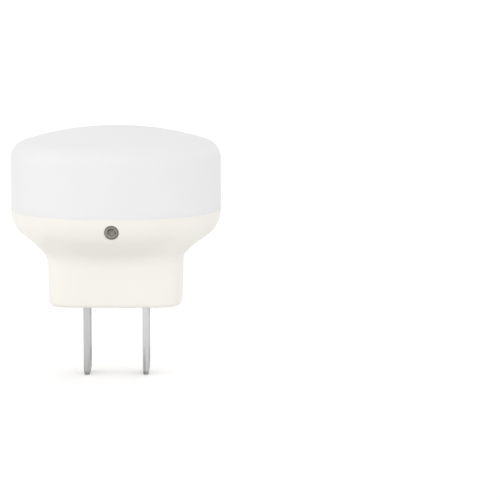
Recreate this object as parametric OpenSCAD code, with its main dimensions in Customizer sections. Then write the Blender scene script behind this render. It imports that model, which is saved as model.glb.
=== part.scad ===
// Plug-in night light: a frosted round shade on a moulded base with two flat plug blades.
// Lengths are in millimetres. The plug face lies in z = 0, the shade stands along +Z
// and the light sensor looks out along -Y.

/* [Shade] */
// Outside diameter of the shade and of the base rim
shade_d = 45; // [44:0.5:48]
// Height from the seam to the crown of the dome
shade_h = 17.9; // [15:0.1:22]
// Radius of the shallow dome
dome_r = 65; // [50:1:90]
// Radius of the shoulder between the dome and the side wall
shoulder_r = 3.9; // [2.5:0.1:6]
// Wall of the shade
shade_wall = 1.8; // [1.5:0.1:2.2]
// Depth of the spigot that enters the base rim
spigot_h = 1; // [0.8:0.05:1]

/* [Base] */
// Height from the plug face to the seam
seam_h = 19.9; // [18.5:0.1:24]
// Straight land of the rim below the seam
rim_land = 0.1; // [0.05:0.05:0.3]
// Radius of the bowl's side where it turns under
bowl_r = 6.5; // [6:0.1:6.8]
// Least angle of the bowl's underside, which keeps the bowl full above the neck's corners
least_flank = 46; // [42:1:48]
// Depth of the bowl and its blend below the seam
blend_drop = 10.8; // [10.6:0.1:11.4]
// How much lower the blend lies at the front and back than at the sides
front_drop = 0.8; // [0:0.1:1.2]
// Radius that blends the bowl into the neck
fillet_r = 3.5; // [3:0.1:3.8]
// Width of the plug neck across the blades
neck_w = 28.8; // [28:0.1:30]
// Depth of the plug neck from front to back
neck_t = 25; // [24:0.1:26.5]
// How square the neck is: 2 is an ellipse, and higher values fill the corners
neck_square = 6; // [5:0.5:8]
// Taper of each neck side towards the plug face
neck_draft = 0.2; // [0:0.05:0.4]
// Rounding around the plug face
edge_r = 1; // [0.6:0.1:1.6]
// Wall of the base
base_wall = 1.8; // [1.5:0.1:2]
// Thickness of the neck floor
floor_t = 3; // [2.6:0.1:3.4]
// Thickness of the rim lip around the spigot
rim_lip = 0.9; // [0.8:0.05:1]

/* [Plug blades] */
// Distance between the blade centres
blade_pitch = 12.7; // [12.5:0.1:12.9]
// Blade width
blade_w = 6.35; // [6:0.05:6.6]
// Blade thickness
blade_t = 1.4; // [1.3:0.05:1.6]
// Blade length below the plug face
blade_l = 15.8; // [15.6:0.1:18]
// Diameter of the hole near the blade tip
blade_hole_d = 3.2; // [2.8:0.1:3.4]
// Distance from the blade tip to the hole centre
blade_hole_end = 4.3; // [4:0.1:5]
// Length of the bevel at the blade tip
tip_bevel_l = 1; // [0.6:0.1:1.6]
// Depth of the tip bevel on each face
tip_bevel_t = 0.2; // [0.1:0.05:0.4]
// Corner radius of the blade tip
tip_r = 0.9; // [0.6:0.1:1.6]
// Height of the shoulder that rests on the neck floor
shoulder_h = 1.6; // [1.2:0.1:2]
// How far the shoulder stands out at each edge of the blade
shoulder_out = 1.1; // [0.8:0.1:1.4]
// Width of the solder tail
tail_w = 3.4; // [3:0.1:3.8]
// Height of the solder tail above the clamp
tail_h = 4; // [3.6:0.1:4.4]

/* [Blade clamp] */
// Thickness of the clamp plate
clamp_t = 2; // [1.6:0.1:2.4]
// Distance of each clamp screw from the middle
clamp_screw_y = 6.2; // [5.8:0.1:6.6]
// Diameter of the bosses under the clamp
clamp_boss_d = 4.6; // [4:0.1:5]

/* [Screws] */
// Shank diameter of the screws
screw_d = 1.9; // [1.7:0.1:2]
// Head diameter of the screws
screw_head_d = 3.7; // [3.4:0.1:4]
// Head height of the screws
screw_head_h = 1.3; // [1:0.1:1.5]
// How far each screw reaches into its boss
screw_bite = 3.2; // [2.6:0.1:3.3]

/* [Circuit board] */
// Depth of the board's underside below the seam
board_drop = 0.6; // [0.5:0.1:0.7]
// Thickness of the board
board_t = 1.2; // [1:0.1:1.6]
// Distance of each board screw from the axis
post_x = 16.6; // [16.3:0.1:17]
// Diameter of the board posts
post_d = 4.6; // [4.2:0.1:5]
// Distance of each LED from the axis
led_ring_r = 9.5; // [8.5:0.1:11]
// Length of an LED body
led_l = 3.5; // [3:0.1:3.8]
// Width of an LED body
led_w = 2.8; // [2.4:0.1:3]
// Height of an LED body
led_h = 0.7; // [0.6:0.05:0.9]

/* [Light sensor] */
// Depth of the sensor axis below the seam
sensor_drop = 2.7; // [2.65:0.05:2.9]
// Diameter of the sensor's clear body
sensor_d = 3; // [2.8:0.1:3.1]
// Length of the sensor from the dome tip to the flange
sensor_l = 4.3; // [4:0.1:4.6]
// Diameter of the sensor flange
sensor_flange_d = 3.8; // [3.6:0.1:4]
// Thickness of the sensor flange
sensor_flange_t = 1; // [0.8:0.1:1.2]
// How far the dome tip lies inside the bowl's surface
sensor_recess = 0.2; // [0:0.05:0.5]
// Diameter of the boss around the sensor bore
sensor_boss_d = 5; // [4.6:0.1:5.2]
// Distance between the sensor leads
sensor_lead_pitch = 2.54; // [2.2:0.02:2.6]
// Thickness of the square sensor leads
sensor_lead_t = 0.45; // [0.4:0.05:0.5]

/* [Wires and leads] */
// Outside diameter of the wire insulation
wire_d = 1.7; // [1.4:0.1:1.8]
// Diameter of the wire core
core_d = 0.8; // [0.6:0.05:0.9]
// Distance of each wire's rising run from the axis
wire_x = 10.8; // [10.7:0.1:11]
// Bend radius of the wires
wire_bend_r = 2; // [1.7:0.1:2.1]
// Diameter of the component leads
lead_d = 0.6; // [0.5:0.05:0.7]

/* [Components] */
// Length of the film capacitor
film_l = 13; // [12:0.1:14]
// Width of the film capacitor
film_w = 5; // [4.4:0.1:5.4]
// Height of the film capacitor
film_h = 8.6; // [7:0.1:8.8]
// Distance of the film capacitor's middle behind the axis
film_y = 5.6; // [5.2:0.1:5.8]
// Distance between the film capacitor's leads
film_pitch = 10; // [9:0.1:10.5]
// Diameter of the smoothing capacitor
can_d = 5; // [4.6:0.1:5.4]
// Height of the smoothing capacitor
can_h = 5.6; // [5:0.1:6]
// Diameter of the inrush resistor's body
inrush_d = 2.3; // [2:0.1:2.6]
// Length of the inrush resistor's body
inrush_l = 6; // [5:0.1:6.4]
// Length of the rectifier's body
bridge_l = 4.7; // [4.2:0.1:5]
// Width of the rectifier's body
bridge_w = 3.8; // [3.4:0.1:4]
// Height of the rectifier above the board
bridge_h = 2.4; // [2:0.1:2.6]
// Length of a chip resistor
chip_l = 3.2; // [2.8:0.1:3.4]
// Width of a chip resistor
chip_w = 1.6; // [1.4:0.1:1.8]
// Height of a chip resistor
chip_h = 0.6; // [0.5:0.05:0.7]
// Diameter of the zener diode
zener_d = 1.5; // [1.3:0.1:1.7]
// Length of the zener diode
zener_l = 3.5; // [3:0.1:3.8]

/* [Clearances] */
// Gap around the spigot in the base rim
spigot_gap = 0.05; // [0:0.05:0.1]
// Gap around each blade in its slot
slot_gap = 0.08; // [0.02:0.02:0.12]
// Gap around the clamp plate in the neck
clamp_gap = 0.2; // [0.1:0.05:0.3]
// Gap around each screw shank in its boss
thread_gap = 0.03; // [0.01:0.01:0.05]
// Gap around screws in the pieces they pass through
hole_gap = 0.15; // [0.1:0.05:0.25]
// Gap around leads in the board
lead_gap = 0.1; // [0.05:0.05:0.2]
// Gap between the board's edge and the shade wall
board_gap = 0.5; // [0.4:0.1:0.8]
// Gap around the sensor in its bore
sensor_gap = 0.05; // [0.02:0.01:0.1]

/* [Hidden] */
$fn = 64;
cut = 1;
around = 96;
bowl_steps = 8;
fillet_steps = 6;
edge_steps = 4;
cup_around = 64;
cup_steps = 5;
shade_r = shade_d / 2;
shoulder_x = shade_r - shoulder_r;
dome_z = seam_h + shade_h - dome_r;
shoulder_z = dome_z + sqrt(pow(dome_r - shoulder_r, 2) - pow(shoulder_x, 2));
rebate_r = shade_r - rim_lip;
neck_in_x = neck_w / 2 - base_wall;
neck_in_y = neck_t / 2 - base_wall;
blade_x = blade_pitch / 2;
clamp_z = floor_t + shoulder_h;
clamp_top = clamp_z + clamp_t;
tail_top = clamp_top + tail_h;
wire_z = tail_top - tail_w / 3;
board_z = seam_h - board_drop;
board_top = board_z + board_t;
board_r = shade_r - max(shade_wall, base_wall) - board_gap;
sensor_z = seam_h - sensor_drop;
sensor_bore_r = sensor_d / 2 + sensor_gap;
sensor_tip_y = shade_r - bowl_r + sqrt(pow(bowl_r, 2) - pow(sensor_drop - rim_land, 2)) - sensor_recess;
sensor_seat_y = sensor_tip_y - sensor_l;
sensor_back_y = sensor_seat_y - sensor_flange_t;
sensor_pad_y = sensor_back_y - 2;
lead_out = 0.8;
can_pos = [-8.4, -7.4];
can_pitch = 2;
inrush_pos = [12, 7];
inrush_z = board_z - inrush_d / 2 - 0.4;
inrush_reach = inrush_l / 2 + 1.4;
bridge_pos = [0, -2.6];
discharge_pos = [[-3.2, 10.6], [3.2, 10.6]];
ballast_pos = [[8.6, -6], [8.6, -9]];
zener_pos = [-1.5, -8.6];
switch_pos = [4.2, -10];

// Distance from the axis to the neck's edge along direction t, for half width a and half depth b: a rectangle
// with bowed sides and full corners.
function neck_reach(t, a, b) =
    pow(pow(abs(cos(t)) / a, neck_square) + pow(abs(sin(t)) / b, neck_square), -1 / neck_square);

// Height where the blend meets the neck in direction t.
function blend_z(t) = seam_h - blend_drop - front_drop * pow(sin(t), 4);

// Angle of the bowl's underside where the neck reaches n from the axis at height z: the line that touches
// both the bowl's turn below the rim and the blend, or a flatter underside where that line is too upright.
function flank_angle(n, z) =
    let (dx = n + fillet_r - shade_r + bowl_r, dz = seam_h - rim_land - z)
    max(least_flank, atan2(dz, dx) - acos(min(1, (bowl_r + fillet_r) / norm([dx, dz]))));

// Height where the bowl begins to turn under with a flank at angle a.
function turn_z(n, z, a) =
    z + (bowl_r + fillet_r) * sin(a) + (shade_r - n - (bowl_r + fillet_r) * (1 - cos(a))) / tan(a);

// Side of the bowl and its blend in direction t, drawn in by w, with k and m steps on the two curves.
function bowl_side(t, w, k, m) =
    let (n = neck_reach(t, neck_w / 2 - w, neck_t / 2 - w), z = blend_z(t))
    let (a = flank_angle(n + w, z))
    let (top = turn_z(n + w, z, a), r = bowl_r - w)
    concat(
        [for (i = [0:k]) [shade_r - bowl_r + r * cos(a * i / k), top - r * sin(a * i / k)]],
        [for (i = [0:m])
            let (p = a * (1 - i / m))
            [n + (fillet_r + w) * (1 - cos(p)), z + (fillet_r + w) * sin(p)]]
    );

// Side of the neck in direction t with the rounding around the plug face.
function neck_side(t) = [for (i = [0:edge_steps])
    let (p = 90 * i / edge_steps, d = neck_draft + edge_r * (1 - cos(p)))
    [neck_reach(t, neck_w / 2 - d, neck_t / 2 - d), edge_r * (1 - sin(p))]];

// Outside and inside of the base in direction t, from the seam down.
function base_side(t) = concat([[shade_r, seam_h]], bowl_side(t, 0, bowl_steps, fillet_steps), neck_side(t));
function cup_side(t) =
    let (b = bowl_side(t, base_wall, cup_steps, cup_steps))
    concat([[b[0][0], seam_h + cut]], b, [[b[len(b) - 1][0], floor_t]]);

// Solid through sides of [distance from the axis, height] points, spread evenly around the axis.
module loft(sides) {
    m = len(sides);
    n = len(sides[0]);
    polyhedron(
        points = concat(
            [for (j = [0:m - 1], p = sides[j]) [p[0] * cos(360 * j / m), p[0] * sin(360 * j / m), p[1]]],
            [[0, 0, sides[0][0][1]], [0, 0, sides[0][n - 1][1]]]
        ),
        faces = [for (j = [0:m - 1])
            let (k = (j + 1) % m)
            each concat(
                [[m * n, k * n, j * n], [m * n + 1, j * n + n - 1, k * n + n - 1]],
                [for (i = [0:n - 2]) [j * n + i, k * n + i, k * n + i + 1]],
                [for (i = [0:n - 2]) [j * n + i, k * n + i + 1, j * n + i + 1]]
            )]
    );
}

// Rounded rectangle from its half width, half depth and corner radius.
module rounded_rect(a, b, c) {
    square([2 * (a - c), 2 * b], center = true);
    square([2 * a, 2 * (b - c)], center = true);
    for (x = [-1, 1], y = [-1, 1])
        translate([x * (a - c), y * (b - c)])
            circle(c);
}

// Half section of the dome, the shoulder and the side wall, drawn in by inset.
module shade_half(inset) {
    translate([0, seam_h])
        square([shade_r - inset, shoulder_z - seam_h]);
    translate([shoulder_x, shoulder_z])
        circle(shoulder_r - inset);
    intersection() {
        translate([0, dome_z])
            circle(dome_r - inset, $fn = 400);
        polygon([[0, seam_h], [0, seam_h + shade_h + cut],
                 [shoulder_x + (shoulder_x / (shoulder_z - dome_z)) * (seam_h + shade_h + cut - shoulder_z),
                  seam_h + shade_h + cut],
                 [shoulder_x, shoulder_z], [shoulder_x, seam_h]]);
    }
}

// Solid form of the base, lofted from the round seam down to the squared plug face.
module base_body() {
    loft([for (j = [0:around - 1]) base_side(360 * j / around)]);
}

// Inside of the bowl and of the neck, one wall in from the outside.
module base_cavity() {
    loft([for (j = [0:cup_around - 1]) cup_side(360 * j / cup_around)]);
}

// Moulded posts and bosses that stand inside the base.
module base_bosses() {
    for (x = [-post_x, post_x])
        translate([x, 0, floor_t])
            cylinder(h = board_z - floor_t, d = post_d);
    for (y = [-clamp_screw_y, clamp_screw_y])
        translate([0, y, 0])
            cylinder(h = clamp_z, d = clamp_boss_d);
    translate([0, -sensor_seat_y, sensor_z])
        rotate([90, 0, 0])
            cylinder(h = shade_r, d = sensor_boss_d);
}

// Self-tapping screw with its head on z = 0 and its point down; t is the thickness it clamps.
module screw(t) {
    head_r = screw_head_d / 2;
    point = screw_d / 2;
    difference() {
        rotate_extrude()
            polygon(concat(
                [[0, -t - screw_bite], [screw_d / 2, -t - screw_bite + point], [screw_d / 2, 0]],
                [for (i = [0:6]) [head_r * cos(15 * i), screw_head_h * (0.35 + 0.65 * sin(15 * i))]],
                [[0, screw_head_h]]
            ));
        for (a = [0, 90])
            rotate([0, 0, a])
                translate([-head_r * 0.55, -0.25, screw_head_h * 0.45])
                    cube([head_r * 1.1, 0.5, screw_head_h]);
    }
}

// Flat blade with a bevelled, holed tip, a shoulder for the neck floor and a solder tail.
module blade() {
    intersection() {
        rotate([90, 0, 90])
            linear_extrude(blade_t, center = true)
                difference() {
                    union() {
                        translate([-blade_w / 2, tip_r - blade_l])
                            square([blade_w, blade_l - tip_r + clamp_z]);
                        translate([tip_r - blade_w / 2, -blade_l])
                            square([blade_w - 2 * tip_r, 2 * tip_r]);
                        for (y = [-1, 1])
                            translate([y * (blade_w / 2 - tip_r), tip_r - blade_l])
                                circle(tip_r);
                        translate([-blade_w / 2 - shoulder_out, floor_t])
                            square([blade_w + 2 * shoulder_out, shoulder_h]);
                        translate([-tail_w / 2, floor_t])
                            square([tail_w, tail_top - floor_t]);
                    }
                    translate([0, blade_hole_end - blade_l])
                        circle(d = blade_hole_d);
                    translate([0, wire_z])
                        circle(d = core_d + 2 * lead_gap);
                }
        rotate([90, 0, 0])
            linear_extrude(blade_w + 2 * shoulder_out + cut, center = true)
                polygon([[-blade_t / 2, tail_top], [-blade_t / 2, tip_bevel_l - blade_l],
                         [tip_bevel_t - blade_t / 2, -blade_l], [blade_t / 2 - tip_bevel_t, -blade_l],
                         [blade_t / 2, tip_bevel_l - blade_l], [blade_t / 2, tail_top]]);
    }
}

// Tube or rod along a wire's route: out from the tail, round the bend and up to z_end.
module wire_run(x_start, z_end, outer, inner) {
    bend_x = wire_x - wire_bend_r;
    translate([x_start, 0, wire_z])
        rotate([0, 90, 0])
            linear_extrude(bend_x - x_start)
                wire_ring(outer, inner);
    translate([bend_x, 0, wire_z + wire_bend_r])
        rotate([90, 90, 0])
            rotate_extrude(angle = 90)
                translate([wire_bend_r, 0])
                    wire_ring(outer, inner);
    translate([wire_x, 0, wire_z + wire_bend_r])
        linear_extrude(z_end - wire_z - wire_bend_r)
            wire_ring(outer, inner);
}

module wire_ring(outer, inner) {
    difference() {
        circle(d = outer);
        if (inner > 0)
            circle(d = inner);
    }
}

module wire_insulation() {
    wire_run(blade_x + blade_t / 2 + 0.5, board_z, wire_d, core_d);
}

// Chip resistor with raised end caps, hanging under the board.
module chip_resistor() {
    translate([-chip_l / 2, -chip_w / 2, board_z - chip_h])
        cube([chip_l, chip_w, chip_h]);
    for (x = [-chip_l / 2, chip_l / 2 - 0.4])
        translate([x, -chip_w / 2, board_z - chip_h - 0.05])
            cube([0.4, chip_w, chip_h + 0.05]);
}

module diffuser_shade() {
    color([0.94, 0.94, 0.94])
        rotate_extrude() {
            difference() {
                shade_half(0);
                shade_half(shade_wall);
            }
            translate([shade_r - shade_wall, seam_h - spigot_h])
                square([shade_wall - rim_lip - spigot_gap, spigot_h + cut]);
        }
}

module base_housing() {
    color([0.96, 0.945, 0.905])
        difference() {
            base_body();
            difference() {
                base_cavity();
                base_bosses();
            }
            translate([0, 0, seam_h - spigot_h])
                cylinder(h = spigot_h + cut, r = rebate_r);
            for (x = [-blade_x, blade_x])
                translate([x, 0, floor_t / 2])
                    cube([blade_t + 2 * slot_gap, blade_w + 2 * slot_gap, floor_t + cut], center = true);
            for (x = [-post_x, post_x])
                translate([x, 0, board_z - screw_bite - 0.4])
                    cylinder(h = screw_bite + cut, d = screw_d + 2 * thread_gap);
            for (y = [-clamp_screw_y, clamp_screw_y])
                translate([0, y, clamp_z - screw_bite - 0.2])
                    cylinder(h = screw_bite + cut, d = screw_d + 2 * thread_gap);
            translate([0, cut - sensor_seat_y, sensor_z])
                rotate([90, 0, 0])
                    cylinder(h = shade_r, r = sensor_bore_r);
        }
}

module light_sensor() {
    color([0.62, 0.61, 0.59, 0.6])
        translate([0, -sensor_back_y, sensor_z])
            rotate([90, 0, 0]) {
                cylinder(h = sensor_flange_t, d = sensor_flange_d);
                cylinder(h = sensor_flange_t + sensor_l - sensor_d / 2, d = sensor_d);
                translate([0, 0, sensor_flange_t + sensor_l - sensor_d / 2])
                    sphere(d = sensor_d);
            }
}

module sensor_leads() {
    color([0.78, 0.78, 0.78])
        for (x = [-sensor_lead_pitch / 2, sensor_lead_pitch / 2])
            translate([x, 0, 0])
                rotate([90, 0, 90])
                    linear_extrude(sensor_lead_t, center = true)
                        polygon([[-sensor_back_y, sensor_z - sensor_lead_t / 2],
                                 [sensor_lead_t / 2 - sensor_pad_y, sensor_z - sensor_lead_t / 2],
                                 [sensor_lead_t / 2 - sensor_pad_y, board_top + lead_out],
                                 [-sensor_lead_t / 2 - sensor_pad_y, board_top + lead_out],
                                 [-sensor_lead_t / 2 - sensor_pad_y, sensor_z + sensor_lead_t / 2],
                                 [-sensor_back_y, sensor_z + sensor_lead_t / 2]]);
}

module blade_left() {
    color([0.78, 0.78, 0.77])
        translate([-blade_x, 0, 0])
            blade();
}

module blade_right() {
    color([0.78, 0.78, 0.77])
        translate([blade_x, 0, 0])
            blade();
}

module blade_clamp() {
    color([0.9, 0.89, 0.86])
        difference() {
            translate([0, 0, clamp_z])
                linear_extrude(clamp_t)
                    polygon([for (t = [0:5:355])
                        neck_reach(t, neck_in_x - clamp_gap, neck_in_y - clamp_gap) * [cos(t), sin(t)]]);
            for (x = [-blade_x, blade_x])
                translate([x, 0, clamp_z + clamp_t / 2])
                    cube([blade_t + 2 * hole_gap, tail_w + 2 * hole_gap, clamp_t + cut], center = true);
            for (y = [-clamp_screw_y, clamp_screw_y])
                translate([0, y, clamp_z - cut / 2])
                    cylinder(h = clamp_t + cut, d = screw_d + 2 * hole_gap);
        }
}

module clamp_screws() {
    color([0.72, 0.73, 0.74])
        for (y = [-clamp_screw_y, clamp_screw_y])
            translate([0, y, clamp_top])
                screw(clamp_t);
}

module circuit_board() {
    color([0.93, 0.94, 0.92])
        translate([0, 0, board_z])
            linear_extrude(board_t)
                difference() {
                    circle(board_r);
                    translate([-sensor_boss_d / 2 - 0.3, -shade_r])
                        square([sensor_boss_d + 0.6, shade_r - sensor_seat_y + 0.4]);
                    for (x = [-post_x, post_x])
                        translate([x, 0])
                            circle(d = screw_d + 2 * hole_gap);
                    for (x = [-wire_x, wire_x])
                        translate([x, 0])
                            circle(d = core_d + 2 * lead_gap);
                    for (x = [-sensor_lead_pitch / 2, sensor_lead_pitch / 2])
                        translate([x, -sensor_pad_y])
                            circle(d = sensor_lead_t * sqrt(2) + 2 * lead_gap);
                    for (p = lead_spots())
                        translate(p)
                            circle(d = lead_d + 2 * lead_gap);
                }
}

// Where the through-hole components pass their leads through the board.
function lead_spots() = [
    [-film_pitch / 2, film_y], [film_pitch / 2, film_y],
    [can_pos[0] - can_pitch / 2, can_pos[1]], [can_pos[0] + can_pitch / 2, can_pos[1]],
    [inrush_pos[0], inrush_pos[1] - inrush_reach], [inrush_pos[0], inrush_pos[1] + inrush_reach]
];

module board_screws() {
    color([0.72, 0.73, 0.74])
        for (x = [-post_x, post_x])
            translate([x, 0, board_top])
                screw(board_t);
}

module led_places() {
    for (a = [45:90:315])
        rotate([0, 0, a])
            translate([led_ring_r, 0, board_top])
                children();
}

module led_bodies() {
    color([0.95, 0.95, 0.93])
        led_places()
            difference() {
                translate([0, 0, led_h / 2])
                    cube([led_w, led_l, led_h], center = true);
                translate([0, 0, led_h])
                    cube([led_w - 0.6, led_l - 0.6, led_h], center = true);
            }
}

module led_phosphors() {
    color([0.95, 0.82, 0.35])
        led_places()
            translate([0, 0, led_h * 0.72])
                cube([led_w - 0.6, led_l - 0.6, led_h * 0.44], center = true);
}

module live_wire() {
    color([0.12, 0.12, 0.13])
        wire_insulation();
}

module neutral_wire() {
    color([0.9, 0.9, 0.88])
        mirror([1, 0, 0])
            wire_insulation();
}

module wire_cores() {
    color([0.8, 0.55, 0.35])
        for (m = [0, 1])
            mirror([m, 0, 0])
                wire_run(blade_x - blade_t / 2 - 0.6, board_top + lead_out, core_d, 0);
}

module dropper_capacitor() {
    color([0.85, 0.72, 0.2])
        translate([0, film_y, board_z - film_h])
            linear_extrude(film_h)
                rounded_rect(film_l / 2, film_w / 2, 0.4);
}

module inrush_resistor() {
    end_l = inrush_l / 5;
    color([0.55, 0.68, 0.6])
        translate([inrush_pos[0], inrush_pos[1], inrush_z])
            rotate([90, 0, 0])
                rotate_extrude()
                    polygon([[0, -inrush_l / 2], [inrush_d * 0.4, -inrush_l / 2],
                             [inrush_d / 2, 0.3 - inrush_l / 2], [inrush_d / 2, end_l - inrush_l / 2],
                             [inrush_d * 0.42, end_l + 0.3 - inrush_l / 2],
                             [inrush_d * 0.42, inrush_l / 2 - end_l - 0.3],
                             [inrush_d / 2, inrush_l / 2 - end_l], [inrush_d / 2, inrush_l / 2 - 0.3],
                             [inrush_d * 0.4, inrush_l / 2], [0, inrush_l / 2]]);
}

module discharge_resistors() {
    color([0.16, 0.16, 0.17])
        for (p = discharge_pos)
            translate(p)
                chip_resistor();
}

module bridge_rectifier() {
    leg_x = bridge_l / 2 - 1;
    color([0.13, 0.13, 0.14])
        translate(bridge_pos) {
            translate([-bridge_l / 2, -bridge_w / 2, board_z - bridge_h])
                cube([bridge_l, bridge_w, bridge_h - 0.15]);
            for (x = [-leg_x, leg_x], m = [0, 1])
                mirror([0, m, 0])
                    translate([x - 0.3, 0, 0])
                        rotate([90, 0, 90])
                            linear_extrude(0.6)
                                translate([bridge_w / 2, board_z])
                                    polygon([[-0.3, -1.2], [0.6, -1.2], [0.6, -0.25], [1.3, -0.25],
                                             [1.3, 0], [0.35, 0], [0.35, -0.95], [-0.3, -0.95]]);
        }
}

module smoothing_capacitor() {
    can_r = can_d / 2;
    color([0.2, 0.22, 0.3])
        translate([can_pos[0], can_pos[1], board_z])
            mirror([0, 0, 1])
                rotate_extrude()
                    polygon([[0, 0], [can_r - 0.5, 0], [can_r, 0.4], [can_r, 0.9], [can_r - 0.3, 1.2],
                             [can_r, 1.5], [can_r, can_h - 0.35], [can_r - 0.35, can_h], [0, can_h]]);
}

module zener_diode() {
    color([0.75, 0.35, 0.25])
        translate([zener_pos[0], zener_pos[1], board_z - zener_d / 2])
            rotate([0, 90, 0]) {
                cylinder(h = zener_l - 0.6, d = zener_d - 0.15, center = true);
                for (z = [-zener_l / 2, zener_l / 2 - 0.5])
                    translate([0, 0, z])
                        cylinder(h = 0.5, d = zener_d);
            }
}

module led_resistors() {
    color([0.16, 0.16, 0.17])
        for (p = ballast_pos)
            translate(p)
                chip_resistor();
}

module switch_transistor() {
    color([0.13, 0.13, 0.14])
        translate(switch_pos) {
            translate([-1.45, -0.65, board_z - 1.05])
                cube([2.9, 1.3, 0.95]);
            for (p = [[-0.95, 0], [0.95, 0], [0, 1]])
                mirror([0, p[1], 0])
                    translate([p[0] - 0.2, 0, 0])
                        rotate([90, 0, 90])
                            linear_extrude(0.4)
                                translate([0, board_z])
                                    polygon([[0.4, -0.55], [0.85, -0.55], [0.85, -0.12], [1.25, -0.12],
                                             [1.25, 0], [0.7, 0], [0.7, -0.4], [0.4, -0.4]]);
        }
}

module component_leads() {
    bend_r = lead_d;
    color([0.8, 0.8, 0.8]) {
        for (p = [for (i = [0:3]) lead_spots()[i]])
            translate([p[0], p[1], board_z])
                cylinder(h = board_t + lead_out, d = lead_d);
        for (m = [0, 1])
            translate([inrush_pos[0], inrush_pos[1], inrush_z])
                mirror([0, m, 0]) {
                    translate([0, inrush_l / 2, 0])
                        rotate([-90, 0, 0])
                            cylinder(h = inrush_reach - inrush_l / 2 - bend_r, d = lead_d);
                    translate([0, inrush_reach - bend_r, bend_r])
                        rotate([90, 90, 90])
                            rotate_extrude(angle = 90)
                                translate([bend_r, 0])
                                    circle(d = lead_d);
                    translate([0, inrush_reach, bend_r])
                        cylinder(h = board_top + lead_out - inrush_z - bend_r, d = lead_d);
                }
    }
}

diffuser_shade();
base_housing();
light_sensor();
sensor_leads();
blade_left();
blade_right();
blade_clamp();
clamp_screws();
circuit_board();
board_screws();
led_bodies();
led_phosphors();
live_wire();
neutral_wire();
wire_cores();
dropper_capacitor();
inrush_resistor();
discharge_resistors();
bridge_rectifier();
smoothing_capacitor();
zener_diode();
led_resistors();
switch_transistor();
component_leads();
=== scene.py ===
import math

import bmesh
import bpy
from mathutils import Matrix, Vector


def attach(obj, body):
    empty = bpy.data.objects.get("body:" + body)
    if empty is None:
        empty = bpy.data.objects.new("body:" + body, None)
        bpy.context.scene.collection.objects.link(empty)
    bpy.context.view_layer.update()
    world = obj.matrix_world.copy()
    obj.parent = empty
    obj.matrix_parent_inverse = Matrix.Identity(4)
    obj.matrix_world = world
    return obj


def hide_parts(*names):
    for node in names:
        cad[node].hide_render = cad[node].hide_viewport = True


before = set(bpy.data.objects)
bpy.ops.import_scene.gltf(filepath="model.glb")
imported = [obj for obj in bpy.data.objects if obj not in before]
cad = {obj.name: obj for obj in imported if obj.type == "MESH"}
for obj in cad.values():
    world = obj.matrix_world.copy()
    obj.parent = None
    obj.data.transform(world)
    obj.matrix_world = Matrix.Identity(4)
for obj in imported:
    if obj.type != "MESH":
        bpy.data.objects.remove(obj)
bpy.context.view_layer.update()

scene = bpy.context.scene
scene.view_settings.view_transform = "Standard"

MM = 0.001
QUARTER = math.pi / 2

# Sizes of the shade, as in its solid
SHADE_R = 22.5 * MM
SHADE_H = 17.9 * MM
DOME_R = 65 * MM
SHOULDER_R = 3.9 * MM
SHADE_WALL = 1.8 * MM
SHADE_EDGE_R = 0.02 * MM
SPIGOT_H = 1 * MM
SPIGOT_GAP = 0.05 * MM

# Sizes of the base, as in its solid
SEAM_H = 19.9 * MM
RIM_LAND = 0.1 * MM
RIM_LIP = 0.9 * MM
BOWL_R = 6.5 * MM
LEAST_FLANK = math.radians(46)
BLEND_R = 3.5 * MM
BLEND_DROP = 10.8 * MM
FRONT_DROP = 0.8 * MM
FRONT_POWER = 4
NECK_W = 28.8 * MM
NECK_T = 25 * MM
NECK_SQUARE = 6
NECK_DRAFT = 0.2 * MM
NECK_EDGE_R = 1 * MM
BASE_WALL = 1.8 * MM
FLOOR_T = 3 * MM

# Sizes of what goes through the base or stands in it
BLADE_X = 6.35 * MM
BLADE_W = 6.35 * MM
BLADE_T = 1.4 * MM
BLADE_L = 15.8 * MM
SLOT_GAP = 0.08 * MM
CLAMP_Z = 4.6 * MM
CLAMP_BOSS_Y = 6.2 * MM
CLAMP_BOSS_R = 2.3 * MM
CLAMP_PILOT_H = 3.4 * MM
BOARD_Z = 19.3 * MM
BOARD_POST_X = 16.6 * MM
BOARD_POST_R = 2.3 * MM
BOARD_PILOT_H = 3.6 * MM
PILOT_R = 0.98 * MM
SENSOR_Z = 17.2 * MM
SENSOR_SEAT_Y = -17.457 * MM
SENSOR_BOSS_R = 2.5 * MM
SENSOR_BORE_R = 1.55 * MM

# How far a tool reaches past what it cuts, how close points are joined, and where an edge is sharp
CUT = 1 * MM
ROW_WELD = 0.002 * MM
POINT_WELD = 0.0005 * MM
SHARP_ANGLE = math.radians(32)

# Facets around the forms
SHELL_AROUND = 288
ROD_AROUND = 96
PILOT_AROUND = 48


# Numbers that vary over a surface

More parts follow.
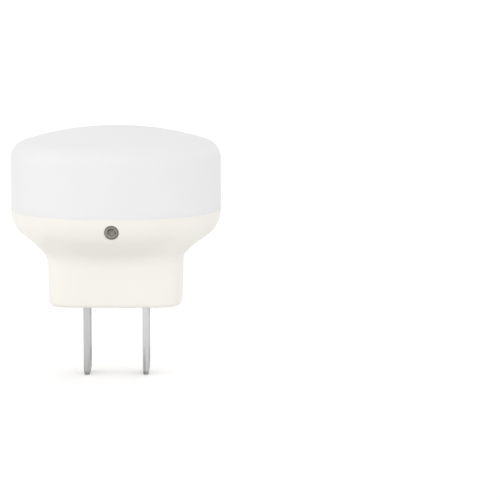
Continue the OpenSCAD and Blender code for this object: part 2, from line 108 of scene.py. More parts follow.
class Field:
    """A number in a node tree that takes part in plain arithmetic."""

    def __init__(self, tree, socket):
        self.tree = tree
        self.socket = socket

    def calc(self, operation, *others, first=None):
        """Math node on this number and others, or on a first value and this number."""
        node = self.tree.nodes.new("ShaderNodeMath")
        node.operation = operation
        values = (first, self) if first is not None else (self, *others)
        for slot, value in zip(node.inputs, values):
            if isinstance(value, Field):
                self.tree.links.new(value.socket, slot)
            else:
                slot.default_value = value
        return Field(self.tree, node.outputs[0])

    def __add__(self, other):
        return self.calc("ADD", other)

    def __sub__(self, other):
        return self.calc("SUBTRACT", other)

    def __mul__(self, other):
        return self.calc("MULTIPLY", other)

    def __truediv__(self, other):
        return self.calc("DIVIDE", other)

    def __rsub__(self, other):
        return self.calc("SUBTRACT", first=other)

    __radd__ = __add__
    __rmul__ = __mul__

    def __abs__(self):
        return self.calc("ABSOLUTE")

    def sin(self):
        return self.calc("SINE")

    def cos(self):
        return self.calc("COSINE")

    def arcsin(self):
        return self.calc("ARCSINE")

    def arccos(self):
        return self.calc("ARCCOSINE")

    def angle_over(self, other):
        return self.calc("ARCTAN2", other)

    def root(self):
        return self.calc("SQRT")

    def power(self, exponent):
        return self.calc("POWER", exponent)

    def below(self, other):
        return self.calc("LESS_THAN", other)

    def above(self, other):
        return self.calc("GREATER_THAN", other)

    def at_least(self, other):
        return self.calc("MAXIMUM", other)

    def held(self):
        """Kept between 0 and 1."""
        return self.at_least(0.0).calc("MINIMUM", 1.0)

    def ramp(self, start, end):
        """Goes from 0 at the start to 1 at the end."""
        return ((self - start) / (end - start)).held()


def axes(tree, place):
    """The three coordinates of a place."""
    split = tree.nodes.new("ShaderNodeSeparateXYZ")
    tree.links.new(place, split.inputs[0])
    return [Field(tree, s) for s in split.outputs]


# Forms that follow a rule: a grid bent around the axis, row by row down its side

def side_tree(name, sizes, around, rows, side):
    """Tree with named sizes for a form with these facets around it and in each stretch of its side.

    side(sizes, turn, part) gives each point's distance from the axis and its height. turn is its angle,
    and part says for each stretch how far down it the point is, from 0 to 1.
    """
    tree = bpy.data.node_groups.new(name, "GeometryNodeTree")
    for label in sizes:
        tree.interface.new_socket(label, in_out="INPUT", socket_type="NodeSocketFloat")
    tree.interface.new_socket("Finish", in_out="INPUT", socket_type="NodeSocketMaterial")
    tree.interface.new_socket("Form", in_out="OUTPUT", socket_type="NodeSocketGeometry")
    entry = tree.nodes.new("NodeGroupInput")
    total = sum(rows)
    grid = tree.nodes.new("GeometryNodeMeshGrid")
    grid.inputs["Size X"].default_value = 1
    grid.inputs["Size Y"].default_value = total
    grid.inputs["Vertices X"].default_value = around + 1
    grid.inputs["Vertices Y"].default_value = total + 1
    across, along, _ = axes(tree, tree.nodes.new("GeometryNodeInputPosition").outputs[0])
    turn = (across + 0.5) * (2 * math.pi)
    row = along + total / 2
    part = [row.ramp(sum(rows[:i]), sum(rows[:i + 1])) for i in range(len(rows))]
    reach, height = side({s: Field(tree, entry.outputs[s]) for s in sizes}, turn, part)
    joined = tree.nodes.new("ShaderNodeCombineXYZ")
    for slot, value in zip(joined.inputs, (reach * turn.cos(), reach * turn.sin(), height)):
        tree.links.new(value.socket, slot)
    bend = tree.nodes.new("GeometryNodeSetPosition")
    tree.links.new(joined.outputs[0], bend.inputs["Position"])
    close = tree.nodes.new("GeometryNodeMergeByDistance")
    close.inputs["Distance"].default_value = ROW_WELD
    real = tree.nodes.new("GeometryNodeRealizeInstances")
    paint = tree.nodes.new("GeometryNodeSetMaterial")
    tree.links.new(entry.outputs["Finish"], paint.inputs["Material"])
    steps = (grid, bend, close, real, paint, tree.nodes.new("NodeGroupOutput"))
    for step, following in zip(steps, steps[1:]):
        tree.links.new(step.outputs[0], following.inputs[0])
    return tree


def grow(name, tree, finish, sizes):
    """Runs a tree with these sizes and keeps the result as a plain mesh."""
    obj = bpy.data.objects.new(name, bpy.data.meshes.new(name))
    scene.collection.objects.link(obj)
    shape = obj.modifiers.new("shape", "NODES")
    shape.node_group = tree
    for socket in tree.interface.items_tree:
        if socket.in_out == "INPUT":
            shape[socket.identifier] = finish if socket.name == "Finish" else sizes[socket.name]
    make_plain(obj)
    dress(obj, finish)
    return obj


def make_plain(obj):
    """Keeps what the modifiers give as the object's own mesh, with its faces turned outwards."""
    shown = obj.evaluated_get(bpy.context.evaluated_depsgraph_get())
    mesh = bpy.data.meshes.new_from_object(shown)
    obj.modifiers.clear()
    obj.data = mesh
    mesh.name = obj.name
    work = bmesh.new()
    work.from_mesh(mesh)
    bmesh.ops.remove_doubles(work, verts=work.verts, dist=POINT_WELD)
    bmesh.ops.recalc_face_normals(work, faces=work.faces)
    for face in work.faces:
        face.smooth = True
    work.to_mesh(mesh)
    work.free()
    mesh.set_sharp_from_angle(angle=SHARP_ANGLE)


def dress(obj, finish):
    """Gives every face of a piece one finish."""
    obj.data.materials.clear()
    obj.data.materials.append(finish)


def neck_reach(turn, half_w, half_t):
    """Distance from the axis to the neck's edge: a rectangle with bowed sides and full corners."""
    across, along = abs(turn.cos()) / half_w, abs(turn.sin()) / half_t
    return (across.power(NECK_SQUARE) + along.power(NECK_SQUARE)).power(-1.0 / NECK_SQUARE)


def base_side(s, turn, part):
    """Side of the base: a turned bowl, full above the neck's corners, whose flank runs into the neck."""
    cap, rise, wall, turn_in, slope, blend_in, down, edge, base = part
    drawn_in, edge_r = s["Drawn in"], s["Edge radius"]
    half_w, half_t = s["Neck width"] / 2 - drawn_in, s["Neck depth"] / 2 - drawn_in
    neck = neck_reach(turn, half_w, half_t)
    rim = s["Rim radius"] - drawn_in
    bowl, blend = s["Bowl radius"] - drawn_in, s["Blend radius"] + drawn_in

    # The flank touches the bowl's circle and the blend's circle
    drop = s["Blend drop"] + s["Front drop"] * turn.sin().power(FRONT_POWER)
    dx = neck + blend - rim + bowl
    dz = drop - s["Rim land"]
    flank = dz.angle_over(dx) - ((bowl + blend) / (dx * dx + dz * dz).root()).arccos()
    flank = flank.at_least(s["Least flank"])
    slant = (rim - (bowl + blend) * (1.0 - flank.cos()) - neck) / flank.sin()
    blend_z = s["Seam height"] - drop
    bowl_z = blend_z + (bowl + blend) * flank.sin() + slant * flank.cos()

    # From the middle of the rim down the bowl and the flank
    reach = rim * cap
    height = s["Seam height"] + s["Rise"] * (1.0 - rise) + (bowl_z - s["Seam height"]) * wall
    reach = reach + bowl * ((flank * turn_in).cos() - 1.0) - slant * flank.sin() * slope
    height = height - bowl * (flank * turn_in).sin() - slant * flank.cos() * slope

    # Through the blend and down the neck to the middle of the plug face
    left = flank * (1.0 - blend_in)
    reach = reach + blend * (flank.cos() - left.cos())
    height = height + blend * (left.sin() - flank.sin())
    foot = neck_reach(turn, half_w - s["Draft"], half_t - s["Draft"])
    reach = reach + (foot - neck) * down
    height = height + (s["Bottom"] + edge_r - blend_z) * down
    in_by = s["Draft"] + edge_r * (1.0 - (edge * QUARTER).cos())
    last = neck_reach(turn, half_w - in_by, half_t - in_by)
    reach = reach + last - foot
    height = height - edge_r * (edge * QUARTER).sin()
    return reach - last * base, height


def shade_side(s, turn, part):
    """Section of the shade: dome, shoulder, wall and spigot, then back up the inside."""
    dome, shoulder, wall, edge, ledge, spigot, foot, up, inner_shoulder, inner_dome = part
    dome_r, shoulder_r, edge_r = s["Dome radius"], s["Shoulder radius"], s["Edge radius"]
    lean = ((s["Rim radius"] - shoulder_r) / (dome_r - shoulder_r)).arcsin()
    top = s["Seam height"] + s["Height"]
    shoulder_z = top - dome_r + (dome_r - shoulder_r) * lean.cos()

    # Outside
    turned = lean + (QUARTER - lean) * shoulder
    reach = dome_r * (lean * dome).sin() + shoulder_r * (turned.sin() - lean.sin())
    height = top + dome_r * ((lean * dome).cos() - 1.0) + shoulder_r * (turned.cos() - lean.cos())
    height = height - (shoulder_z - s["Seam height"] - edge_r) * wall
    reach = reach - edge_r * (1.0 - (edge * QUARTER).cos())
    height = height - edge_r * (edge * QUARTER).sin()
    reach = reach - (s["Ledge"] - edge_r) * ledge
    height = height - s["Spigot"] * spigot
    reach = reach - (s["Wall"] - s["Ledge"]) * foot

    # Inside
    height = height + (s["Spigot"] + shoulder_z - s["Seam height"]) * up
    inner_shoulder_r, inner_dome_r = shoulder_r - s["Wall"], dome_r - s["Wall"]
    back = QUARTER - (QUARTER - lean) * inner_shoulder
    reach = reach + inner_shoulder_r * (back.sin() - 1.0)
    height = height + inner_shoulder_r * back.cos()
    left = lean * (1.0 - inner_dome)
    reach = reach + inner_dome_r * (left.sin() - lean.sin())
    height = height + inner_dome_r * (left.cos() - lean.cos())
    return reach, height


# Plain forms, also to cut out of others

def from_work(name, work):
    """Object with the mesh in the making."""
    mesh = bpy.data.meshes.new(name)
    work.to_mesh(mesh)
    work.free()
    obj = bpy.data.objects.new(name, mesh)
    scene.collection.objects.link(obj)
    return obj


def rod(name, radius, start, end, around=ROD_AROUND):
    """Closed cylinder from start to end."""
    start, end = Vector(start), Vector(end)
    along = end - start
    work = bmesh.new()
    bmesh.ops.create_cone(
        work, cap_ends=True, segments=around, radius1=radius, radius2=radius, depth=along.length
    )
    place = Matrix.Translation((start + end) / 2) @ along.to_track_quat("Z", "Y").to_matrix().to_4x4()
    bmesh.ops.transform(work, matrix=place, verts=work.verts)
    return from_work(name, work)


def block(name, low, high):
    """Closed box between two corners."""
    low, high = Vector(low), Vector(high)
    work = bmesh.new()
    bmesh.ops.create_cube(work, size=1)
    place = Matrix.Translation((low + high) / 2) @ Matrix.Diagonal((*(high - low), 1))
    bmesh.ops.transform(work, matrix=place, verts=work.verts)
    return from_work(name, work)


def plate(name, outline, low, high):
    """Flat piece with an outline in millimetres in the XY plane, between two heights."""
    work = bmesh.new()
    face = work.faces.new([work.verts.new((x * MM, y * MM, low)) for x, y in outline])
    up = bmesh.ops.extrude_face_region(work, geom=[face])
    moved = [v for v in up["geom"] if isinstance(v, bmesh.types.BMVert)]
    bmesh.ops.translate(work, verts=moved, vec=(0, 0, high - low))
    bmesh.ops.recalc_face_normals(work, faces=work.faces)
    return from_work(name, work)


def carve(body, tools):
    """Takes the tools out of the body."""
    for tool in tools:
        knife = body.modifiers.new("carve", "BOOLEAN")
        knife.object = tool
        knife.operation = "DIFFERENCE"
        knife.solver = "EXACT"
    make_plain(body)
    for tool in tools:
        bpy.data.objects.remove(tool)


# What finishes are made of

def noise(tree, place, per_metre, detail=2.0, rough=0.5):
    """Uneven spots, about this many to a metre."""
    node = tree.nodes.new("ShaderNodeTexNoise")
    node.inputs["Detail"].default_value = detail
    node.inputs["Roughness"].default_value = rough
    tree.links.new(place, node.inputs["Vector"])
    if isinstance(per_metre, Field):
        tree.links.new(per_metre.socket, node.inputs["Scale"])
    else:
        node.inputs["Scale"].default_value = per_metre
    return Field(tree, node.outputs["Fac"])


def stretched(tree, place, scale):
    """Coordinates scaled along each axis."""
    node = tree.nodes.new("ShaderNodeMapping")
    node.inputs["Scale"].default_value = scale
    tree.links.new(place, node.inputs["Vector"])
    return node.outputs[0]


def effect(name, entries, make):
    """Shader node group with named inputs. make(tree, place, sizes) gives its named outputs."""
    tree = bpy.data.node_groups.new(name, "ShaderNodeTree")
    tree.interface.new_socket("Place", in_out="INPUT", socket_type="NodeSocketVector")
    for label, value in entries.items():
        socket = tree.interface.new_socket(label, in_out="INPUT", socket_type="NodeSocketFloat")
        socket.default_value = value
    entry = tree.nodes.new("NodeGroupInput")
    results = make(tree, entry.outputs["Place"], {s: Field(tree, entry.outputs[s]) for s in entries})
    for label in results:
        tree.interface.new_socket(label, in_out="OUTPUT", socket_type="NodeSocketFloat")
    leave = tree.nodes.new("NodeGroupOutput")
    for label, value in results.items():
        tree.links.new(value.socket, leave.inputs[label])
    return tree


def moulded(tree, place, size):
    """Moulded plastic: slow flow marks, a fine spark-eroded grain and a gloss that varies with both."""
    flow = noise(tree, place, size["Flow size"].power(-1.0), detail=3.0, rough=0.55)
    grain = noise(tree, place, size["Grain size"].power(-1.0), detail=1.5, rough=0.6)
    rough = size["Gloss"] + (flow * 0.6 + grain * 0.4 - 0.5) * size["Gloss change"]
    return {"Flow": flow, "Roughness": rough, "Grain": grain}


def drawn(tree, place, size):
    """Drawn or rolled metal: streaks along one axis, with broader bands under them."""
    fine = noise(tree, place, size["Streak width"].power(-1.0), detail=3.0, rough=0.6)
    broad = noise(tree, place, (size["Streak width"] * 5.0).power(-1.0))
    streak = fine * 0.45 + broad * 0.55
    rough = size["Gloss"] + (streak - 0.5) * size["Gloss change"]
    return {"Streak": streak, "Roughness": rough, "Scratch": fine}


MOULDED = effect(
    "moulded_surface",
    {"Flow size": 12 * MM, "Grain size": 0.12 * MM, "Gloss": 0.4, "Gloss change": 0.1},
    moulded,
)
DRAWN = effect("drawn_surface", {"Streak width": 0.2 * MM, "Gloss": 0.3, "Gloss change": 0.2}, drawn)
SCRATCH_DEPTH = 0.002 * MM


class Finish:
    """A material in the making, with its shader and its colour and roughness so far."""

    def __init__(self, name):
        self.mat = bpy.data.materials.new(name)
        self.mat.use_nodes = True
        self.tree = self.mat.node_tree
        self.tree.nodes.clear()
        self.shader = self.tree.nodes.new("ShaderNodeBsdfPrincipled")
        output = self.tree.nodes.new("ShaderNodeOutputMaterial")
        self.tree.links.new(self.shader.outputs[0], output.inputs["Surface"])
        self.place = self.tree.nodes.new("ShaderNodeTexCoord").outputs["Object"]
        self.colour = None
        self.rough = None

    def axes(self):
        """The piece's own coordinates."""
        return axes(self.tree, self.place)

    def set(self, label, value):
        """Gives one of the shader's inputs a value, which may vary over the surface."""
        slot = self.shader.inputs[label]
        if isinstance(value, Field):
            self.tree.links.new(value.socket, slot)
        else:
            slot.default_value = value

    def paint(self, share, colour, under=None):
        """Lays a colour over the one so far, or over another, by a share."""
        mix = self.tree.nodes.new("ShaderNodeMix")
        mix.data_type = "RGBA"
        self.tree.links.new(share.socket, mix.inputs["Factor"])
        if under is None:
            self.tree.links.new(self.colour, mix.inputs["A"])
        else:
            mix.inputs["A"].default_value = (*under, 1)
        mix.inputs["B"].default_value = (*colour, 1)
        self.colour = mix.outputs["Result"]
        self.tree.links.new(self.colour, self.shader.inputs["Base Color"])

    def skin(self, effect_tree, place, relief, depth, values):
        """Takes roughness and relief from an effect, and gives all that it puts out."""
        node = self.tree.nodes.new("ShaderNodeGroup")
        node.node_tree = effect_tree
        self.tree.links.new(place, node.inputs["Place"])
        for label, value in values.items():
            node.inputs[label].default_value = value
        given = {s.name: Field(self.tree, s) for s in node.outputs}
        self.rough = given["Roughness"]
        self.set("Roughness", self.rough)
        bump = self.tree.nodes.new("ShaderNodeBump")
        bump.inputs["Distance"].default_value = depth
        bump.inputs["Strength"].default_value = 1
        self.tree.links.new(given[relief].socket, bump.inputs["Height"])
        self.tree.links.new(bump.outputs[0], self.shader.inputs["Normal"])
        return given


def plastic(
    name, low, high, gloss, flow=12 * MM, grain=0.12 * MM, depth=0.004 * MM, change=0.1, **inputs
):
    """Moulded plastic between two close colours."""
    made = Finish(name)
    values = {"Flow size": flow, "Grain size": grain, "Gloss": gloss, "Gloss change": change}
    skin = made.skin(MOULDED, made.place, "Grain", depth, values)
    made.paint(skin["Flow"], high, under=low)
    for label, value in inputs.items():
        made.set(label.replace("_", " "), value)
    return made


def metal(name, low, high, gloss, along=(1, 1, 0.04), width=0.2 * MM):
    """Drawn metal between two close colours, with its streaks along the axis that is scaled down."""
    made = Finish(name)
    values = {"Streak width": width, "Gloss": gloss, "Gloss change": 0.2}
    skin = made.skin(DRAWN, stretched(made.tree, made.place, along), "Scratch", SCRATCH_DEPTH, values)
    made.paint(skin["Streak"], high, under=low)
    made.set("Metallic", 1)
    return made


# Finishes that show

FROSTED = plastic(
    "frosted_shade", (0.853, 0.853, 0.853), (0.869, 0.869, 0.869), 0.55,
    flow=20 * MM, grain=0.16 * MM, depth=0.006 * MM, change=0.08, Specular_IOR_Level=0.3,
    Subsurface_Weight=0.2, Subsurface_Radius=(1, 1, 1), Subsurface_Scale=0.35 * MM,
).mat
CREAM = plastic(
    "cream_plastic", (0.917, 0.888, 0.834), (0.931, 0.904, 0.852), 0.4,
    flow=15 * MM, grain=0.12 * MM, depth=0.003 * MM, change=0.1, Specular_IOR_Level=0.35,
    Subsurface_Weight=0.1, Subsurface_Radius=(1, 0.75, 0.55), Subsurface_Scale=0.6 * MM,
).mat


def plated_blade(name, low, high, streak):
    """Nickel-plated brass with dull rolled faces, darker towards the tip and streaked, with painted shade
    on the rolled faces, along the side edges, under the neck and at the tip.
    """
    made = metal(name, (low,) * 3, (high,) * 3, 0.34)
    x, _, z = made.axes()
    down = z * (-1 / BLADE_L)
    off_middle = abs(x) - BLADE_X

    # Darker towards the tip, and in patches near it
    patch = noise(made.tree, stretched(made.tree, made.place, (1, 1, 0.12)), per_metre=520.0)
    darker_towards_tip = down.ramp(0.25, 1.0) * 0.4125 + down.ramp(0.5, 0.9545) * patch.ramp(0.47, 0.67) * 0.5
    made.paint(darker_towards_tip, (0.34, 0.34, 0.345))

    # Rolled faces are dull and carry painted shade, with a painted shadow darkest just under the neck
    normal = made.tree.nodes.new("ShaderNodeNewGeometry").outputs["True Normal"]
    rolled = abs(axes(made.tree, normal)[0]).above(0.8)
    made.paint(rolled * 0.45, (0.40, 0.40, 0.41))
    painted_neck_shadow = (1.0 - down.ramp(0.06, 0.2267)) * rolled
    made.paint(painted_neck_shadow * 0.7, (0.22, 0.22, 0.225))
    made.set("Roughness", made.rough + rolled * 0.16)

    # Painted shade along the side edges, a worn streak beside the middle, and painted shade at the tip
    painted_edge_shade = abs(off_middle).ramp(0.48 * MM, 0.68 * MM)
    made.paint(painted_edge_shade * 0.25, (0.36, 0.36, 0.365))
    worn = down.ramp(0.56, 0.86) * (1.0 - abs(off_middle + 0.28 * MM).ramp(0, 0.36 * MM))
    made.paint(worn * streak, (0.25, 0.25, 0.255))
    # Painted shade at the tip, made uneven
    uneven = noise(made.tree, made.place, per_metre=1800.0, detail=3.0, rough=0.6)
    tip = ((z * -1.0 - (BLADE_L - 1.0 * MM)) / (0.3 * MM) + (uneven - 0.5) * 0.8).held()
    made.paint(tip * 0.45, (0.22, 0.22, 0.225))
    return made.mat


def clear_epoxy():
    """Water-clear lens of the sensor, a little smoky, with a faint flow in it."""
    made = Finish("clear_epoxy")
    cloud = noise(made.tree, made.place, per_metre=900.0)
    made.paint(cloud, (0.68, 0.635, 0.58), under=(0.60, 0.555, 0.50))
    made.set("Roughness", cloud * 0.05 + 0.03)
    made.set("Transmission Weight", 0.7)
    made.set("IOR", 1.53)
    return made.mat


# Finishes of the inner pieces, with their marks where the pieces are

CHIP_HALF = 1.2 * MM
REAR_CHIP_X = 3.2 * MM
FRONT_CHIP_X = 8.6 * MM
RECTIFIER_Y = -2.6 * MM
RECTIFIER_HALF = 1.9 * MM
TRANSISTOR_Y = -10 * MM
TRANSISTOR_HALF = 0.66 * MM
DIODE_X = -1.5 * MM
DIODE_HALF = 1.25 * MM
DIODE_RING_X = -0.55 * MM
DIODE_RING_HALF = 0.3 * MM
CAN_X = -8.4 * MM
CAN_STRIPE_OFF = 1.9 * MM
CAN_LID_Z = BOARD_Z - 5.55 * MM
WEAVE_PER_METRE = 9000.0
TINNED = (0.66, 0.66, 0.65)
BLACK = (0.02, 0.02, 0.02)
BROWN = (0.30, 0.05, 0.02)
GOLD = (0.60, 0.42, 0.10)
RINGS = ((4.6 * MM, BROWN), (6.1 * MM, BLACK), (7.5 * MM, BLACK), (9.4 * MM, GOLD))
RING_HALF = 0.28 * MM


def metal_ends(made, ends):
    """Turns a plastic body's ends, where the mask is 1, into tinned metal."""
    made.paint(ends, TINNED)
    made.set("Metallic", ends)
    return made.mat


def circuit_white():
    """White solder mask over a woven board, a little uneven over the weave."""
    made = plastic("white_board", (0.84, 0.86, 0.84), (0.90, 0.91, 0.89), 0.38, flow=4 * MM, grain=0.3 * MM)
    x, y, _ = made.axes()
    weave = (x * WEAVE_PER_METRE).sin() * (y * WEAVE_PER_METRE).sin() * 0.5 + 0.5
    made.paint(weave * 0.25, (0.78, 0.80, 0.74))
    return made.mat


def chip_finish(name, ends):
    """Black body with tinned ends, where ends(x, y) is 1."""
    made = plastic(name, (0.018, 0.018, 0.02), (0.03, 0.03, 0.032), 0.45, flow=2 * MM)
    x, y, _ = made.axes()
    return metal_ends(made, ends(x, y))


def resistor_coat():
    """Green lacquer with painted rings."""
    made = plastic("resistor_coat", (0.24, 0.42, 0.34), (0.28, 0.48, 0.39), 0.35, flow=2 * MM)
    _, y, _ = made.axes()
    for middle, colour in RINGS:
        made.paint(abs(y - middle).below(RING_HALF), colour)
    return made.mat


def diode_glass():
    """Amber glass with a black ring and tinned ends."""
    made = plastic(
        "diode_glass", (0.52, 0.16, 0.06), (0.60, 0.20, 0.08), 0.12, flow=1 * MM, Coat_Weight=0.5
    )
    x, _, _ = made.axes()
    made.paint(abs(x - DIODE_RING_X).below(DIODE_RING_HALF), BLACK)
    return metal_ends(made, abs(x - DIODE_X).above(DIODE_HALF))


def can_sleeve():
    """Dark blue sleeve with a pale stripe down one side, around a metal can."""
    made = plastic("can_sleeve", (0.022, 0.028, 0.06), (0.03, 0.038, 0.075), 0.3, flow=3 * MM)
    x, _, z = made.axes()
    made.paint((x - CAN_X).below(-CAN_STRIPE_OFF), (0.55, 0.56, 0.58))
    lid = z.below(CAN_LID_Z)
    made.paint(lid, (0.62, 0.63, 0.64))
    made.set("Metallic", lid)
    return made.mat


tinned = metal("tinned_lead", (0.60, 0.60, 0.59), (0.74, 0.74, 0.73), 0.3, along=(1, 1, 0.3)).mat
steel = metal("screw_steel", (0.46, 0.47, 0.48), (0.60, 0.61, 0.62), 0.32, along=(1, 1, 6)).mat
copper = metal("tinned_copper", (0.60, 0.30, 0.14), (0.76, 0.44, 0.24), 0.3, along=(0.3, 1, 0.3)).mat
black_wire = plastic("black_insulation", (0.010, 0.010, 0.011), (0.018, 0.018, 0.02), 0.42, flow=4 * MM).mat
white_wire = plastic("white_insulation", (0.78, 0.78, 0.75), (0.84, 0.84, 0.81), 0.42, flow=4 * MM).mat
film_case = plastic("yellow_case", (0.66, 0.44, 0.02), (0.74, 0.52, 0.04), 0.4, flow=5 * MM).mat
led_white = plastic("led_white", (0.86, 0.86, 0.83), (0.91, 0.91, 0.88), 0.42, flow=3 * MM).mat
phosphor = plastic(
    "led_phosphor", (0.80, 0.56, 0.06), (0.90, 0.68, 0.14), 0.5,
    flow=0.4 * MM, grain=0.08 * MM, depth=0.01 * MM,
).mat
clamp_grey = plastic("clamp_plastic", (0.72, 0.70, 0.66), (0.77, 0.75, 0.71), 0.5, grain=0.2 * MM).mat
finishes = {
    "diffuser_shade": FROSTED,
    "base_housing": CREAM,
    "light_sensor": clear_epoxy(),
    # The two blades share one plating: the left copy is painted darker and the right copy lighter, as
    # painted shade and light; only the right one has the worn streak
    "blade_left": plated_blade("plated_brass_left", 0.52, 0.67, 0.0),
    "blade_right": plated_blade("plated_brass_right", 0.585, 0.78, 0.8),
    "sensor_leads": tinned,
    "component_leads": tinned,
    "blade_clamp": clamp_grey,
    "clamp_screws": steel,
    "board_screws": steel,
    "circuit_board": circuit_white(),
    "led_bodies": led_white,
    "led_phosphors": phosphor,
    "live_wire": black_wire,
    "neutral_wire": white_wire,
    "wire_cores": copper,
    "dropper_capacitor": film_case,
    "inrush_resistor": resistor_coat(),
    "discharge_resistors": chip_finish(
        "chip_pair_rear", lambda x, y: abs(abs(x) - REAR_CHIP_X).above(CHIP_HALF)
    ),
    "led_resistors": chip_finish(
        "chip_pair_front", lambda x, y: abs(x - FRONT_CHIP_X).above(CHIP_HALF)
    ),
    "bridge_rectifier": chip_finish(
        "rectifier_body", lambda x, y: abs(y - RECTIFIER_Y).above(RECTIFIER_HALF)
    ),
    "switch_transistor": chip_finish(
        "transistor_body", lambda x, y: abs(y - TRANSISTOR_Y).above(TRANSISTOR_HALF)
    ),
    "smoothing_capacitor": can_sleeve(),
    "zener_diode": diode_glass(),
}
for name, finish in finishes.items():
    dress(cad[name], finish)


# Shade

# Facets in each stretch, in the order of the section
SHADE_ROWS = (24, 14, 6, 3, 1, 1, 1, 6, 10, 20)
shade_sizes = {
    "Rim radius": SHADE_R, "Seam height": SEAM_H, "Height": SHADE_H, "Dome radius": DOME_R,
    "Shoulder radius": SHOULDER_R, "Wall": SHADE_WALL, "Ledge": RIM_LIP + SPIGOT_GAP,
    "Spigot": SPIGOT_H, "Edge radius": SHADE_EDGE_R,
}
shade_tree = side_tree("shade_form", shade_sizes, SHELL_AROUND, SHADE_ROWS, shade_side)
shade_shell = grow("shade_shell", shade_tree, FROSTED, shade_sizes)
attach(shade_shell, "root")
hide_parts("diffuser_shade")


# Base

# Facets in each stretch, in the order of the section
BASE_ROWS = (1, 1, 3, 14, 6, 12, 8, 6, 1)
base_sizes = {
    "Rim radius": SHADE_R, "Seam height": SEAM_H, "Rise": 0.0, "Rim land": RIM_LAND,
    "Bowl radius": BOWL_R, "Least flank": LEAST_FLANK, "Blend radius": BLEND_R,
    "Blend drop": BLEND_DROP, "Front drop": FRONT_DROP, "Neck width": NECK_W, "Neck depth": NECK_T,
    "Draft": NECK_DRAFT, "Edge radius": NECK_EDGE_R, "Bottom": 0.0, "Drawn in": 0.0,
}
hollow_sizes = {
    **base_sizes, "Rise": CUT, "Draft": 0.0, "Edge radius": 0.0, "Bottom": FLOOR_T, "Drawn in": BASE_WALL,
}
base_tree = side_tree("base_form", base_sizes, SHELL_AROUND, BASE_ROWS, base_side)
base_shell = grow("base_shell", base_tree, CREAM, base_sizes)
hollow = grow("hollow", base_tree, CREAM, hollow_sizes)
blade_slots = (-BLADE_X, BLADE_X)
board_posts = (-BOARD_POST_X, BOARD_POST_X)
clamp_bosses = (-CLAMP_BOSS_Y, CLAMP_BOSS_Y)
slot_x, slot_y = BLADE_T / 2 + SLOT_GAP, BLADE_W / 2 + SLOT_GAP
board_pilot_z, clamp_pilot_z = BOARD_Z - BOARD_PILOT_H, CLAMP_Z - CLAMP_PILOT_H
bore_end = (0, -SHADE_R - CUT, SENSOR_Z)
carve(hollow, [
    *(rod("post", BOARD_POST_R, (x, 0, FLOOR_T), (x, 0, BOARD_Z)) for x in board_posts),
    *(rod("boss", CLAMP_BOSS_R, (0, y, 0), (0, y, CLAMP_Z)) for y in clamp_bosses),
    rod("sensor_boss", SENSOR_BOSS_R, (0, SENSOR_SEAT_Y, SENSOR_Z), bore_end),
])
carve(base_shell, [
    hollow,
    rod("rebate", SHADE_R - RIM_LIP, (0, 0, SEAM_H - SPIGOT_H), (0, 0, SEAM_H + CUT), SHELL_AROUND),
    *(block("slot", (x - slot_x, -slot_y, -CUT), (x + slot_x, slot_y, FLOOR_T + CUT))
      for x in blade_slots),
    *(rod("pilot", PILOT_R, (x, 0, board_pilot_z), (x, 0, BOARD_Z + CUT), PILOT_AROUND)
      for x in board_posts),
    *(rod("pilot", PILOT_R, (0, y, clamp_pilot_z), (0, y, CLAMP_Z + CUT), PILOT_AROUND)
      for y in clamp_bosses),
    rod("bore", SENSOR_BORE_R, (0, SENSOR_SEAT_Y + CUT, SENSOR_Z), bore_end),
])
dress(base_shell, CREAM)
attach(base_shell, "root")
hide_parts("base_housing")


# What goes in and around the sensor's lens

def from_sensor_axis(x, z):
    """Distance from the axis of the sensor's bore."""
    return (x * x + (z - SENSOR_Z) * (z - SENSOR_Z)).root()


def facing_front(y):
    """Turns a form that stands on its axis to look out of the bore, and puts it at this depth."""
    return Matrix.Translation((0, y, SENSOR_Z)) @ Matrix.Rotation(QUARTER, 4, "X")


# Lead frame inside the sensor's lens, with outlines in millimetres

DISH_ROWS = (2, 3, 1, 2, 2)
DISH_AROUND = 64
DISH_Y = -20 * MM
DISH_SHADE_R = 0.595 * MM
ANVIL = (
    (-1.49, -16.5), (-1.05, -16.5), (-1.05, -17.3), (-0.3, -18.1), (0.4, -18.6), (0.4, -19.96),
    (-0.4, -19.96), (-0.5, -18.7), (-1.49, -17.6),
)
ANVIL_Z = (SENSOR_Z - 0.25 * MM, SENSOR_Z + 0.25 * MM)
POST = (
    (1.49, -16.5), (1.05, -16.5), (1.05, -17.6), (0.95, -18.1), (0.95, -20.3), (0.42, -20.75),
    (0.42, -21.42), (0.82, -21.42), (0.82, -20.9), (1.2, -20.45), (1.2, -18.1), (1.49, -17.7),
)
POST_Z = (SENSOR_Z + 0.16 * MM, SENSOR_Z + 0.52 * MM)
DIE_LOW = (-0.14 * MM, DISH_Y - 0.12 * MM, SENSOR_Z - 0.4 * MM)
DIE_HIGH = (0.34 * MM, DISH_Y + 0.01 * MM, SENSOR_Z + 0.08 * MM)


def dish_side(s, turn, part):
    """Section of the dish that holds the chip: floor, flare, lip, outside and underside."""
    floor, flare, lip, outside, under = part
    reach = s["Floor radius"] * floor + (s["Lip radius"] - s["Floor radius"]) * flare + s["Lip"] * lip
    height = s["Depth"] * flare - (s["Depth"] + s["Lip"]) * outside
    return reach - (s["Lip radius"] + s["Lip"]) * under, height


def silver(name, low, high, gloss):
    """Silver plate without a grain in one direction."""
    return metal(name, low, high, gloss, along=(1, 1, 1), width=0.1 * MM)


def frame_silver():
    """Silver-plated frame whose dish is painted dark inside its lip, as painted shade."""
    made = silver("lead_frame", (0.66, 0.65, 0.63), (0.82, 0.81, 0.79), 0.5)
    x, _, z = made.axes()
    made.paint(from_sensor_axis(x, z).below(DISH_SHADE_R), (0.06, 0.058, 0.055))
    return made.mat


